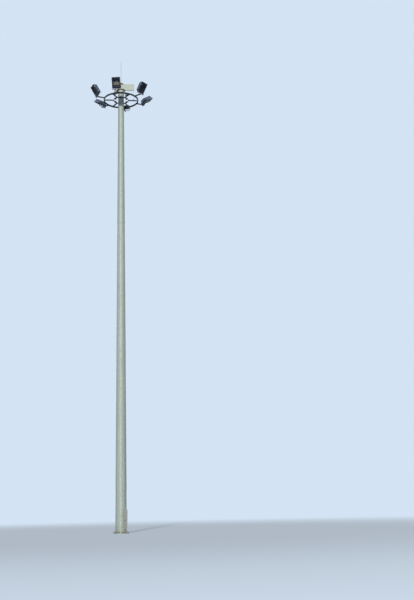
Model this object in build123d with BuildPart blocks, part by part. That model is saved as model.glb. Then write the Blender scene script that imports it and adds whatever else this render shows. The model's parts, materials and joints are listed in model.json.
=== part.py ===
# A 30 m high mast floodlight tower: a sixteen-sided tapered steel shaft in four sleeved
# sections, a door at its foot, a carriage of six floodlights that is winched up and down
# the shaft, and a three-armed pulley head. The origin is the centre of the base flange's
# underside, +Z is up, and the door faces -Y. Bearings turn from -Y towards +X.
import os
from math import atan, cos, degrees, hypot, radians, sin, tan

from build123d import *

os.makedirs("parts", exist_ok=True)

# Clearances
seat_gap = 0.3
pin_gap = 0.05
sleeve_gap = 0.4

# Shaft: widths are across the flats
shaft_sides = 16
shaft_foot_width = 690.0
shaft_taper = 0.0120
door_section_wall = 10.0
lower_wall = 8.0
middle_wall = 6.0
upper_wall = 5.0
door_section_top = 3200.0
lower_foot = 2600.0
lower_top = 11600.0
middle_foot = 10700.0
middle_top = 20700.0
upper_foot = 20000.0
shaft_top = 29570.0

# Base flange
flange_overhang = 145.0
flange_bore_inset = 75.0
flange_thickness = 40.0
bolt_circle_offset = 85.0
bolt_hole_radius = 19.0
bolt_count = 16
gusset_count = 8
gusset_height = 170.0
gusset_thickness = 12.0
gusset_edge_inset = 25.0

# Door and its frame
door_frame_width = 400.0
door_frame_height = 1300.0
door_frame_foot = 250.0
door_frame_bar = 40.0
door_frame_stand_out = 35.0
door_frame_depth = 150.0
door_gap = 5.0
door_plate = 6.0
door_rim_depth = 22.0
door_rim_wall = 5.0
hinge_pin_radius = 8.0
hinge_knuckle_radius = 15.0
hinge_knuckle_length = 50.0
hinge_inset = 260.0
hinge_stand_off = 16.0
hinge_leaf = 8.0
hinge_leaf_gap = 2.0
hinge_leaf_reach = 90.0
knuckle_side_gap = 1.0
door_proud = 4.0
lock_radius = 26.0
lock_height = 16.0
lock_level = 800.0
lock_key_radius = 9.0
lock_key_depth = 8.0

# Winch behind the door
winch_level = 950.0
winch_plate = 12.0
winch_plate_height = 420.0
winch_plate_reach = 150.0
winch_plate_corner = 50.0
winch_back_height = 270.0
drum_length = 180.0
drum_radius = 70.0
drum_flange_radius = 140.0
drum_flange_thickness = 10.0
drum_shaft_radius = 20.0
drum_shaft_stub = 12.0
winch_pad_width = 110.0

# Ropes
rope_radius = 5.0
rope_sides = 8
inner_rope_radius = 50.0
compensator_level = 1950.0
compensator_radius = 85.0
compensator_thickness = 24.0

# Pulley head
sheave_pitch_radius = 165.0
sheave_rim_radius = 175.0
sheave_width = 36.0
sheave_side_gap = 4.0
sheave_axle_radius = 16.0
outer_sheave_reach = 680.0
head_arm_end = 45.0
head_arm_margin = 120.0
head_arm_corner = 60.0
cheek_thickness = 8.0
head_plate_radius = 300.0
head_plate_thickness = 16.0
head_bore_radius = 90.0
socket_depth = 380.0
socket_wall = 10.0
head_cap_radius = 170.0
head_cap_thickness = 12.0
rod_radius = 12.0
rod_length = 1630.0

# Carriage
ring_drop = 720.0
ring_radius = 1160.0
ring_width = 50.0
ring_height = 100.0
channel_wall = 6.0
guide_ring_bar = 12.0
guide_ring_margin = 6.0
spoke_count = 6
spoke_width = 50.0
spoke_height = 70.0
tube_wall = 5.0
roller_radius = 45.0
roller_width = 70.0
roller_clearance = 28.0
roller_ring_gap = 35.0
roller_pin_radius = 8.0
roller_lug = 10.0
roller_lug_width = 40.0
roller_lug_end = 26.0
roller_lug_chamfer = 12.0
roller_side_gap = 3.0
rope_lug_radius = 20.0
rope_lug_height = 45.0
arm_width = 70.0
arm_height = 60.0

# Floodlights, each with its own downward aim in degrees, in the order of their bearings
flood_aims = (26.0, 32.0, 60.0, 66.0, 60.0, 32.0)
flood_reach = 1700.0
flood_swing_gap = 29.0
flood_width = 570.0
flood_height = 740.0
flood_depth = 270.0
flood_pivot_drop = 180.0
flood_rim_depth = 45.0
flood_rim_wall = 12.0
flood_rim_step = 6.0
flood_back_taper = 20.0
flood_fin_depth = 50.0
flood_fin_thickness = 8.0
flood_fin_count = 7
flood_wall = 6.0
flood_corner = 35.0
window_width = 470.0
window_height = 480.0
window_rise = 55.0
glass_thickness = 6.0
glass_lap = 10.0
reflector_wall = 3.0
reflector_depth = 150.0
reflector_lip = 20.0
reflector_taper = 32.0
yoke_bar = 12.0
yoke_width = 60.0
yoke_top = 40.0
yoke_chamfer = 22.0
yoke_gap = 8.0
trunnion_radius = 18.0
trunnion_root = 55.0

# Bearings of what is spaced round the mast
first_flood_bearing = -50.0
head_arm_bearing = 50.0
head_arm_count = 3
junction_bearing = -10.0

junction_size = 220.0
junction_height = 260.0
junction_depth = 120.0
junction_wall = 3.0
junction_corner = 15.0

flood_count = len(flood_aims)
half_side_angle = 180.0 / shaft_sides
door_section_gap = lower_wall + sleeve_gap
middle_step = middle_wall + sleeve_gap
upper_step = upper_wall + sleeve_gap


def radial(bearing):
    return Vector(sin(radians(bearing)), -cos(radians(bearing)), 0)


def tangent(bearing):
    return Vector(cos(radians(bearing)), sin(radians(bearing)), 0)


def place(bearing, reach, level):
    return radial(bearing) * reach + Vector(0, 0, level)


def bearing_plane(bearing, reach=0.0, level=0.0):
    """Plane whose x runs out along the bearing and whose normal is up."""
    return Plane(place(bearing, reach, level), x_dir=radial(bearing), z_dir=(0, 0, 1))


def side_plane(bearing, level=0.0, reach=0.0):
    """Plane whose x runs out along the bearing and whose y is up."""
    return Plane(place(bearing, reach, level), x_dir=radial(bearing), z_dir=-tangent(bearing))


def end_plane(bearing, reach, level):
    """Upright plane across the bearing whose normal points at the mast."""
    return Plane(place(bearing, reach, level), x_dir=tangent(bearing), z_dir=-radial(bearing))


def flat_radius(level, step=0.0):
    """Distance from the axis to the flats of a section that lies step outside the first."""
    return (shaft_foot_width - shaft_taper * level) / 2 + step


def shaft_solid(foot, top, step):
    """Solid tapered prism with the shaft's sides."""
    with BuildPart() as prism:
        with BuildSketch(Plane.XY.offset(foot)):
            RegularPolygon(flat_radius(foot, step), shaft_sides, major_radius=False, rotation=half_side_angle)
        extrude(amount=top - foot, taper=degrees(atan(shaft_taper / 2)))
    return prism.part


lower_step = door_section_gap
middle_outer_step = lower_step + middle_step
upper_outer_step = middle_outer_step + upper_step

ring_level = shaft_top - ring_drop
flange_radius = shaft_foot_width / 2 + flange_overhang
flange_bore_radius = shaft_foot_width / 2 - flange_bore_inset
bolt_circle_radius = shaft_foot_width / 2 + bolt_circle_offset

# Door section
door_section_foot = flange_thickness
frame_middle = door_frame_foot + door_frame_height / 2
door_frame_face = flat_radius(frame_middle) + door_frame_stand_out
with BuildPart() as door_section:
    add(shaft_solid(door_section_foot, door_section_top, 0))
    add(shaft_solid(door_section_foot, door_section_top, -door_section_wall), mode=Mode.SUBTRACT)
    with BuildSketch(Plane.XZ):
        with Locations((0, frame_middle)):
            SlotOverall(
                door_frame_height + 2 * seat_gap, door_frame_width + 2 * seat_gap, rotation=90
            )
    extrude(amount=shaft_foot_width, mode=Mode.SUBTRACT)

# Three sleeved sections above it
with BuildPart() as lower_shaft:
    add(shaft_solid(lower_foot, lower_top, lower_step))
    add(shaft_solid(lower_foot, lower_top, lower_step - lower_wall), mode=Mode.SUBTRACT)

with BuildPart() as middle_shaft:
    add(shaft_solid(middle_foot, middle_top, middle_outer_step))
    add(shaft_solid(middle_foot, middle_top, middle_outer_step - middle_wall), mode=Mode.SUBTRACT)

with BuildPart() as upper_shaft:
    add(shaft_solid(upper_foot, shaft_top, upper_outer_step))
    add(shaft_solid(upper_foot, shaft_top, upper_outer_step - upper_wall), mode=Mode.SUBTRACT)

# Base flange with its bolt holes and gussets
with BuildPart() as base_flange:
    with BuildSketch():
        Circle(flange_radius)
        Circle(flange_bore_radius, mode=Mode.SUBTRACT)
        with PolarLocations(bolt_circle_radius, bolt_count, start_angle=half_side_angle):
            Circle(bolt_hole_radius, mode=Mode.SUBTRACT)
    extrude(amount=flange_thickness)
    for k in range(gusset_count):
        bearing = 360.0 / shaft_sides + k * 360.0 / gusset_count
        with BuildSketch(side_plane(bearing, flange_thickness)):
            with BuildLine():
                foot_reach = flat_radius(flange_thickness) + seat_gap
                top_reach = flat_radius(flange_thickness + gusset_height) + seat_gap
                Polyline(
                    (foot_reach, 0),
                    (flange_radius - gusset_edge_inset, 0),
                    (flange_radius - gusset_edge_inset, gusset_thickness),
                    (top_reach + gusset_thickness, gusset_height),
                    (top_reach, gusset_height),
                    close=True,
                )
            make_face()
        extrude(amount=gusset_thickness / 2, both=True)

# Door frame: a bar bent to the shape of the opening, let through the shaft wall
hinge_x = door_frame_width / 2 - door_frame_bar / 2
hinge_y = -(door_frame_face + hinge_stand_off)
knuckle_levels = (door_frame_foot + hinge_inset, door_frame_foot + door_frame_height - hinge_inset)
opening_width = door_frame_width - 2 * door_frame_bar
opening_height = door_frame_height - 2 * door_frame_bar
with BuildPart() as door_frame:
    with BuildSketch(Plane.XZ.offset(door_frame_face - door_frame_depth)):
        with Locations((0, frame_middle)):
            SlotOverall(door_frame_height, door_frame_width, rotation=90)
            SlotOverall(opening_height, opening_width, rotation=90, mode=Mode.SUBTRACT)
    extrude(amount=door_frame_depth)
    for level in knuckle_levels:
        for side in (-1, 1):
            knuckle_foot = level + side * hinge_knuckle_length - hinge_knuckle_length / 2
            with BuildSketch(Plane.XY.offset(knuckle_foot)):
                with Locations((hinge_x, hinge_y)):
                    Circle(hinge_knuckle_radius)
                with Locations((hinge_x, -door_frame_face - hinge_stand_off / 2)):
                    Rectangle(2 * hinge_pin_radius, hinge_stand_off)
            extrude(amount=hinge_knuckle_length)
        with BuildSketch(Plane.XY.offset(level - hinge_knuckle_length)):
            with Locations((hinge_x, hinge_y)):
                Circle(hinge_pin_radius)
        extrude(amount=2 * hinge_knuckle_length)

# Door: a rimmed plate with the same rounded ends
door_width = opening_width - 2 * door_gap
door_height = opening_height - 2 * door_gap
door_face = door_frame_face + door_proud
rim_width = door_width - 2 * door_rim_wall
rim_height = door_height - 2 * door_rim_wall
leaf_middle = -(door_frame_face + hinge_leaf_gap + hinge_leaf / 2)
with BuildPart() as base_door:
    with BuildSketch(Plane.XZ.offset(door_face - door_plate)):
        with Locations((0, frame_middle)):
            SlotOverall(door_height, door_width, rotation=90)
    extrude(amount=door_plate)
    with BuildSketch(Plane.XZ.offset(door_face - door_rim_depth)):
        with Locations((0, frame_middle)):
            SlotOverall(door_height, door_width, rotation=90)
            SlotOverall(rim_height, rim_width, rotation=90, mode=Mode.SUBTRACT)
    extrude(amount=door_rim_depth - door_plate)
    for level in knuckle_levels:
        leaf_length = hinge_knuckle_length - 2 * knuckle_side_gap
        with BuildSketch(Plane.XY.offset(level - leaf_length / 2)):
            with Locations((hinge_x, hinge_y)):
                Circle(hinge_knuckle_radius)
            with Locations((hinge_x - hinge_leaf_reach / 2, leaf_middle)):
                Rectangle(hinge_leaf_reach, hinge_leaf)
        extrude(amount=leaf_length)
        with BuildSketch(Plane.XY.offset(level - leaf_length / 2)):
            with Locations((hinge_x, hinge_y)):
                Circle(hinge_pin_radius + pin_gap)
        extrude(amount=leaf_length, mode=Mode.SUBTRACT)

# Lock barrel on the door
with BuildPart() as door_lock:
    with BuildSketch(Plane.XZ.offset(door_face)):
        with Locations((0, lock_level)):
            Circle(lock_radius)
    extrude(amount=lock_height)
    with BuildSketch(Plane.XZ.offset(door_face + lock_height)):
        with Locations((0, lock_level)):
            RegularPolygon(lock_key_radius, 3)
    extrude(amount=-lock_key_depth, mode=Mode.SUBTRACT)

# Winch: two side plates on a back plate and a wall pad, and the drum between them
drum_y = drum_radius + rope_radius
plate_x = drum_length / 2 + drum_flange_thickness + sheave_side_gap
back_y = drum_y + drum_flange_radius + sheave_side_gap
winch_foot = winch_level - winch_plate_height / 2
drum_shaft_end = plate_x + winch_plate + drum_shaft_stub
with BuildPart() as winch_frame:
    for side in (-1, 1):
        with BuildSketch(Plane.YZ.offset(side * (plate_x + winch_plate / 2))):
            with Locations((back_y - winch_plate_reach, winch_level)):
                RectangleRounded(2 * winch_plate_reach, winch_plate_height, winch_plate_corner)
        extrude(amount=winch_plate / 2, both=True)
    with BuildSketch(Plane.XZ.offset(-back_y)):
        with Locations((0, winch_level)):
            Rectangle(2 * (plate_x + winch_plate), winch_back_height)
    extrude(amount=-winch_plate)
    with BuildSketch(Plane.XZ.offset(-back_y)):
        with Locations((0, winch_level)):
            Rectangle(winch_pad_width, winch_back_height)
    extrude(amount=-shaft_foot_width)
    add(
        shaft_solid(winch_foot, winch_foot + winch_plate_height, -door_section_wall - seat_gap),
        mode=Mode.INTERSECT,
    )
    with BuildSketch(Plane.YZ.offset(-drum_shaft_end)):
        with Locations((drum_y, winch_level)):
            Circle(drum_shaft_radius + pin_gap)
    extrude(amount=2 * drum_shaft_end, mode=Mode.SUBTRACT)

with BuildPart() as winch_drum:
    drum_end = drum_length / 2
    with BuildSketch(Plane.YZ.offset(-drum_end)):
        with Locations((drum_y, winch_level)):
            Circle(drum_radius)
    extrude(amount=drum_length)
    for side in (-1, 1):
        with BuildSketch(Plane.YZ.offset(side * (drum_end + drum_flange_thickness / 2))):
            with Locations((drum_y, winch_level)):
                Circle(drum_flange_radius)
        extrude(amount=drum_flange_thickness / 2, both=True)
    with BuildSketch(Plane.YZ.offset(-drum_shaft_end)):
        with Locations((drum_y, winch_level)):
            Circle(drum_shaft_radius)
    extrude(amount=2 * drum_shaft_end)

# Pulley head: socket over the shaft's end, a plate, and three arms of paired cheeks
head_plate_level = shaft_top + seat_gap
head_plate_top = head_plate_level + head_plate_thickness
sheave_level = head_plate_top + sheave_rim_radius + sheave_side_gap
inner_sheave_reach = inner_rope_radius + sheave_pitch_radius
cheek_gap = sheave_width + 2 * sheave_side_gap
cheek_inner_reach = (cheek_gap / 2 + cheek_thickness) / tan(radians(60)) + seat_gap
head_arm_reach = outer_sheave_reach + sheave_rim_radius + head_arm_end
head_arm_depth = 2 * sheave_rim_radius + head_arm_margin
arm_top = head_plate_top + head_arm_depth
socket_step = upper_outer_step + sleeve_gap
head_arm_bearings = [head_arm_bearing + k * 360.0 / head_arm_count for k in range(head_arm_count)]
with BuildPart() as head_frame:
    with BuildSketch(Plane.XY.offset(head_plate_level)):
        Circle(head_plate_radius)
        Circle(head_bore_radius, mode=Mode.SUBTRACT)
    extrude(amount=head_plate_thickness)
    add(shaft_solid(shaft_top - socket_depth, head_plate_level, socket_step + socket_wall))
    add(shaft_solid(shaft_top - socket_depth, head_plate_level, socket_step), mode=Mode.SUBTRACT)
    for bearing in head_arm_bearings:
        for side in (-1, 1):
            cheek_side = side * (cheek_gap + cheek_thickness) / 2
            cheek_plane = side_plane(bearing, head_plate_top).offset(cheek_side)
            cheek_corner = cheek_plane.from_local_coords((2 * head_arm_reach, head_arm_depth / 2))
            with BuildSketch(cheek_plane):
                with Locations(((cheek_inner_reach + head_arm_reach) / 2, head_arm_depth / 2)):
                    cheek = Rectangle(head_arm_reach - cheek_inner_reach, head_arm_depth)
                fillet(cheek.vertices().sort_by_distance(cheek_corner)[:2], head_arm_corner)
            extrude(amount=cheek_thickness / 2, both=True)
        for reach in (inner_sheave_reach, outer_sheave_reach):
            with BuildSketch(side_plane(bearing, sheave_level)):
                with Locations((reach, 0)):
                    Circle(sheave_axle_radius)
            extrude(amount=(cheek_gap + cheek_thickness) / 2, both=True)

# Two grooved pulleys in each arm
groove_radius = rope_radius + seat_gap
with BuildPart() as sheaves:
    for bearing in head_arm_bearings:
        for reach in (inner_sheave_reach, outer_sheave_reach):
            centre = place(bearing, reach, sheave_level)
            with BuildSketch(bearing_plane(bearing, reach, sheave_level)):
                with BuildLine():
                    Polyline(
                        (sheave_axle_radius + pin_gap, -sheave_width / 2),
                        (sheave_rim_radius, -sheave_width / 2),
                        (sheave_pitch_radius - groove_radius, -rope_radius),
                        (sheave_pitch_radius - groove_radius, rope_radius),
                        (sheave_rim_radius, sheave_width / 2),
                        (sheave_axle_radius + pin_gap, sheave_width / 2),
                        close=True,
                    )
                make_face()
            revolve(axis=Axis(centre, tangent(bearing)))

# Ropes inside the mast: over both pulleys, down to the compensator, and one on to the drum
compensator_top = compensator_level + compensator_thickness / 2
rope_crest = sheave_level + sheave_pitch_radius
with BuildPart() as hoist_ropes:
    for bearing in head_arm_bearings:
        outer_centre = place(bearing, outer_sheave_reach, sheave_level)
        inner_centre = place(bearing, inner_sheave_reach, sheave_level)
        with BuildSketch(bearing_plane(bearing, outer_sheave_reach + sheave_pitch_radius, sheave_level)):
            RegularPolygon(rope_radius, rope_sides)
        revolve(axis=Axis(outer_centre, tangent(bearing)), revolution_arc=-90)
        with BuildSketch(end_plane(bearing, outer_sheave_reach, rope_crest)):
            RegularPolygon(rope_radius, rope_sides)
        extrude(amount=outer_sheave_reach - inner_sheave_reach)
        with BuildSketch(bearing_plane(bearing, inner_rope_radius, sheave_level)):
            RegularPolygon(rope_radius, rope_sides)
        revolve(axis=Axis(inner_centre, tangent(bearing)), revolution_arc=90)
        with BuildSketch(bearing_plane(bearing, inner_rope_radius, compensator_top)):
            RegularPolygon(rope_radius, rope_sides)
        extrude(amount=sheave_level - compensator_top)
    with BuildSketch(Plane.XY.offset(winch_level)):
        RegularPolygon(rope_radius, rope_sides)
    extrude(amount=compensator_level - compensator_thickness / 2 - winch_level)

with BuildPart() as compensator:
    with BuildSketch(Plane.XY.offset(compensator_level - compensator_thickness / 2)):
        Circle(compensator_radius)
    extrude(amount=compensator_thickness)

# Cap plate on the arms, and the lightning rod
with BuildPart() as head_cap:
    with BuildSketch(Plane.XY.offset(arm_top)):
        Circle(head_cap_radius)
    extrude(amount=head_cap_thickness)

with BuildPart() as lightning_rod:
    rod_foot = arm_top + head_cap_thickness
    with BuildSketch(Plane.XY.offset(rod_foot)):
        Circle(rod_radius)
    extrude(amount=rod_length)

# Carriage rings: rolled channels, the outer one open inwards and the guide ring outwards
ring_web = ring_radius + ring_width / 2
with BuildPart() as carriage_ring:
    with BuildSketch(Plane.XZ):
        with Locations((ring_radius, ring_level)):
            Rectangle(ring_width, ring_height)
        with Locations((ring_radius - channel_wall, ring_level)):
            Rectangle(ring_width, ring_height - 2 * channel_wall, mode=Mode.SUBTRACT)
    revolve(axis=Axis.Z)

widest_corner = flat_radius(lower_foot, lower_step) / cos(radians(half_side_angle))
roller_reach = widest_corner + roller_clearance + roller_radius
guide_inner = roller_reach + roller_radius + roller_ring_gap
guide_outer = guide_inner + guide_ring_bar
guide_middle = guide_inner + guide_ring_bar / 2
guide_ring_height = spoke_height + 2 * guide_ring_margin
spoke_bearings = [head_arm_bearing + k * 360.0 / spoke_count for k in range(spoke_count)]
roller_bearings = [bearing + 180.0 / spoke_count for bearing in spoke_bearings]
roller_lug_tip = roller_reach - roller_lug_end
with BuildPart() as guide_ring:
    with BuildSketch(Plane.XZ):
        with Locations((guide_middle, ring_level)):
            Rectangle(guide_ring_bar, guide_ring_height)
    revolve(axis=Axis.Z)
    for bearing in roller_bearings:
        for side in (-1, 1):
            lug_side = side * (roller_width / 2 + roller_side_gap + roller_lug / 2)
            with BuildSketch(side_plane(bearing, ring_level).offset(lug_side)):
                with Locations(((roller_lug_tip + guide_middle) / 2, 0)):
                    lug = Rectangle(guide_middle - roller_lug_tip, roller_lug_width)
                outward_axis = Axis(origin=(0, 0, 0), direction=radial(bearing))
                chamfer(lug.vertices().group_by(outward_axis)[0], roller_lug_chamfer)
            extrude(amount=roller_lug / 2, both=True)
        with BuildSketch(side_plane(bearing, ring_level)):
            with Locations((roller_reach, 0)):
                Circle(roller_pin_radius)
        extrude(amount=(roller_width + roller_lug) / 2 + roller_side_gap, both=True)

with BuildPart() as guide_rollers:
    for bearing in roller_bearings:
        with BuildSketch(side_plane(bearing, ring_level)):
            with Locations((roller_reach, 0)):
                Circle(roller_radius)
                Circle(roller_pin_radius + pin_gap, mode=Mode.SUBTRACT)
        extrude(amount=roller_width / 2, both=True)

# Spokes, with a lug for a rope on every second one
rope_reach = outer_sheave_reach + sheave_pitch_radius
rope_lug_top = ring_level + spoke_height / 2 + rope_lug_height
spoke_inner = guide_outer + seat_gap
spoke_outer = ring_web - channel_wall - seat_gap
with BuildPart() as carriage_spokes:
    for bearing in spoke_bearings:
        with BuildSketch(end_plane(bearing, spoke_outer + spoke_width, ring_level)):
            Rectangle(spoke_width, spoke_height)
            Rectangle(spoke_width - 2 * tube_wall, spoke_height - 2 * tube_wall, mode=Mode.SUBTRACT)
        extrude(amount=spoke_outer - spoke_inner + 2 * spoke_width)
    with BuildSketch(Plane.XY.offset(ring_level)):
        Circle(spoke_outer)
        Circle(spoke_inner, mode=Mode.SUBTRACT)
    extrude(amount=spoke_height, both=True, mode=Mode.INTERSECT)
    for bearing in head_arm_bearings:
        with BuildSketch(bearing_plane(bearing, rope_reach, rope_lug_top)):
            Circle(rope_lug_radius)
        extrude(amount=-rope_lug_height - tube_wall)

with BuildPart() as suspension_ropes:
    for bearing in head_arm_bearings:
        with BuildSketch(bearing_plane(bearing, rope_reach, rope_lug_top)):
            RegularPolygon(rope_radius, rope_sides)
        extrude(amount=sheave_level - rope_lug_top)

# Junction box on one spoke, hollow
with BuildPart() as junction_box:
    box_middle = (spoke_inner + spoke_outer) / 2
    box_foot = ring_level + spoke_height / 2
    inner_height = junction_height - 2 * junction_wall
    inner_size = junction_size - 2 * junction_wall
    with BuildSketch(bearing_plane(junction_bearing, box_middle, box_foot)):
        RectangleRounded(junction_height, junction_size, junction_corner)
    extrude(amount=junction_depth)
    with BuildSketch(bearing_plane(junction_bearing, box_middle, box_foot + junction_wall)):
        RectangleRounded(inner_height, inner_size, junction_corner - junction_wall)
    extrude(amount=junction_depth - 2 * junction_wall, mode=Mode.SUBTRACT)

# Arms that carry the floodlights, cut to the ring's round face
arm_inner = ring_radius + ring_width / 2 + seat_gap
arm_outer = flood_reach + yoke_width / 2
flood_bearings = [first_flood_bearing + k * 360.0 / flood_count for k in range(flood_count)]
arm_level = ring_level - arm_height / 2
with BuildPart() as lamp_arms:
    for bearing in flood_bearings:
        with BuildSketch(end_plane(bearing, arm_outer, arm_level)):
            Rectangle(arm_width, arm_height)
        extrude(amount=arm_outer - ring_radius)
        with BuildSketch(end_plane(bearing, arm_outer - tube_wall, arm_level)):
            Rectangle(arm_width - 2 * tube_wall, arm_height - 2 * tube_wall)
        extrude(amount=arm_outer - ring_radius, mode=Mode.SUBTRACT)
    with BuildSketch(Plane.XY.offset(ring_level)):
        Circle(arm_inner)
    extrude(amount=-arm_height, mode=Mode.SUBTRACT)

# Yokes: a foot bar on each arm and two uprights to the pivots, which lie below the lamps' middles
flood_rise = hypot(flood_height / 2 - flood_pivot_drop, flood_depth / 2) + yoke_bar + flood_swing_gap
pivot_level = ring_level + flood_rise
upright_side = flood_width / 2 + yoke_gap + yoke_bar / 2
with BuildPart() as flood_yokes:
    for bearing in flood_bearings:
        with BuildSketch(bearing_plane(bearing, flood_reach, ring_level)):
            Rectangle(yoke_width, 2 * upright_side + yoke_bar)
        extrude(amount=yoke_bar)
        for side in (-1, 1):
            with BuildSketch(side_plane(bearing, pivot_level, flood_reach).offset(side * upright_side)):
                with Locations((0, (yoke_top - flood_rise) / 2)):
                    upright = Rectangle(yoke_width, flood_rise + yoke_top)
                chamfer(upright.vertices().group_by(Axis.Z)[-1], yoke_chamfer)
                Circle(trunnion_radius + pin_gap, mode=Mode.SUBTRACT)
            extrude(amount=yoke_bar / 2, both=True)

# Floodlights: housing with a window over its lamp chamber, fins behind, gear box below
flood_front = flood_depth / 2
rim_back = flood_front - flood_rim_depth
fin_front = flood_fin_depth - flood_front
glass_seat = glass_thickness + flood_wall
glass_back = flood_front - glass_seat
cavity_front = glass_back - flood_wall
reflector_width = window_width - 2 * reflector_lip
reflector_height = window_height - 2 * reflector_lip
cavity_width = flood_width - 2 * flood_rim_wall
cavity_height = flood_height - 2 * flood_rim_wall
shell_width = flood_width - 2 * flood_rim_step
shell_height = flood_height - 2 * flood_rim_step
back_inset = (rim_back - fin_front) * tan(radians(flood_back_taper))
flood_back_width = shell_width - 2 * back_inset
flood_back_height = shell_height - 2 * back_inset
fin_pitch = (flood_back_width - flood_fin_thickness) / (flood_fin_count - 1)
flood_parts = {}
for number, (bearing, aim) in enumerate(zip(flood_bearings, flood_aims), start=1):
    outward = radial(bearing) * cos(radians(aim)) - Vector(0, 0, sin(radians(aim)))
    up_face = radial(bearing) * sin(radians(aim)) + Vector(0, 0, cos(radians(aim)))
    middle = place(bearing, flood_reach, pivot_level) + up_face * flood_pivot_drop
    face = Plane(middle, x_dir=tangent(bearing), z_dir=outward)
    back = Plane(middle, x_dir=-tangent(bearing), z_dir=-outward)
    with BuildPart() as housing:
        with BuildSketch(face.offset(rim_back)):
            RectangleRounded(flood_width, flood_height, flood_corner)
        extrude(amount=flood_rim_depth)
        with BuildSketch(back.offset(-rim_back)):
            Rectangle(shell_width, shell_height)
        extrude(amount=rim_back - fin_front, taper=flood_back_taper)
        for fin in range(flood_fin_count):
            across = (fin - (flood_fin_count - 1) / 2) * fin_pitch
            with BuildSketch(face.offset(-flood_front)):
                with Locations((across, 0)):
                    Rectangle(flood_fin_thickness, flood_back_height)
            extrude(amount=flood_fin_depth)
        with BuildSketch(face.offset(cavity_front)):
            Rectangle(cavity_width, cavity_height)
        extrude(amount=rim_back - cavity_front, mode=Mode.SUBTRACT)
        with BuildSketch(back.offset(-rim_back)):
            Rectangle(cavity_width, cavity_height)
        extrude(amount=rim_back - fin_front - flood_wall, taper=flood_back_taper, mode=Mode.SUBTRACT)
        with BuildSketch(face.offset(flood_front)):
            with Locations((0, window_rise)):
                Rectangle(window_width, window_height)
        extrude(amount=-glass_seat, mode=Mode.SUBTRACT)
        with BuildSketch(face.offset(flood_front)):
            with Locations((0, window_rise)):
                Rectangle(window_width - 2 * glass_lap, window_height - 2 * glass_lap)
        extrude(amount=-(glass_seat + 2 * flood_wall), mode=Mode.SUBTRACT)
        for side in (-1, 1):
            root = side * (flood_width / 2 - trunnion_root)
            with BuildSketch(side_plane(bearing, pivot_level, flood_reach).offset(root)):
                Circle(trunnion_radius)
            extrude(amount=side * (trunnion_root + yoke_gap + yoke_bar))
    with BuildPart() as glass:
        with BuildSketch(face.offset(glass_back + seat_gap)):
            with Locations((0, window_rise)):
                Rectangle(window_width - 2 * seat_gap, window_height - 2 * seat_gap)
        extrude(amount=glass_thickness)
    with BuildPart() as reflector:
        reflector_mouth = back.offset(seat_gap - cavity_front)
        with BuildSketch(reflector_mouth):
            with Locations((0, window_rise)):
                Rectangle(window_width, window_height)
        extrude(amount=reflector_wall)
        with BuildSketch(reflector_mouth):
            with Locations((0, window_rise)):
                Rectangle(reflector_width, reflector_height)
        extrude(amount=reflector_depth, taper=reflector_taper)
        with BuildSketch(reflector_mouth):
            with Locations((0, window_rise)):
                Rectangle(reflector_width - 2 * reflector_wall, reflector_height - 2 * reflector_wall)
        extrude(amount=reflector_depth - reflector_wall, taper=reflector_taper, mode=Mode.SUBTRACT)
    flood_parts[f"flood_housing_{number}"] = housing
    flood_parts[f"flood_reflector_{number}"] = reflector
    flood_parts[f"flood_glass_{number}"] = glass

pieces = {
    "base_flange": base_flange,
    "door_section": door_section,
    "lower_shaft": lower_shaft,
    "middle_shaft": middle_shaft,
    "upper_shaft": upper_shaft,
    "door_frame": door_frame,
    "base_door": base_door,
    "door_lock": door_lock,
    "winch_frame": winch_frame,
    "winch_drum": winch_drum,
    "hoist_ropes": hoist_ropes,
    "compensator": compensator,
    "head_frame": head_frame,
    "sheaves": sheaves,
    "head_cap": head_cap,
    "lightning_rod": lightning_rod,
    "carriage_ring": carriage_ring,
    "guide_ring": guide_ring,
    "guide_rollers": guide_rollers,
    "carriage_spokes": carriage_spokes,
    "suspension_ropes": suspension_ropes,
    "junction_box": junction_box,
    "lamp_arms": lamp_arms,
    "flood_yokes": flood_yokes,
    **flood_parts,
}
for name, piece in pieces.items():
    piece.part.label = name
    export_step(piece.part, f"parts/{name}.step")
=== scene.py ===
# %% [markdown]
# # A high mast floodlight tower
#
# This file dresses the steel mast that the CAD frame holds: its finishes, its bolts and welds, its ropes
# and the insides of its six floodlights. Every piece is in metres, in the frame's own axes: Z runs up the
# mast, and the door at the foot faces -Y.

# %% Load the frame
import json
from math import cos, pi, radians, sin

import bmesh
import bpy
from mathutils import Matrix, Vector


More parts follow.
